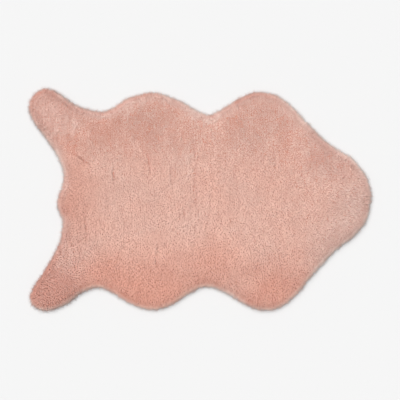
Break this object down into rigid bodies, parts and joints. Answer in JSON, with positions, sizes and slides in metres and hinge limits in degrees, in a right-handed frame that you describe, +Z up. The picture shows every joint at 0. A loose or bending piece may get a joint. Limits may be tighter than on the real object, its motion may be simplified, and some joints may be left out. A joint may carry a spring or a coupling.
{
  "type": "faux fur rug",
  "caption": "Flat plush rug cut to the outline of a hide, with paws, rounded lobes, a blunt nose and a soft lumpy pile with locks at its rim.",
  "frame": {"origin": "middle of the rug's length and width, on the underside of its backing", "axes": "+X along the length towards the blunt nose, +Y across it, +Z up out of the pile"},
  "size_m": [0.905, 0.59, 0.025],
  "materials": {
    "plush": "matt dusty pink faux fur pile, soft and slightly clumped, on a knitted backing"
  },
  "bodies": {
    "root": {"fur_pelt": "plush"}
  },
  "joints": []
}
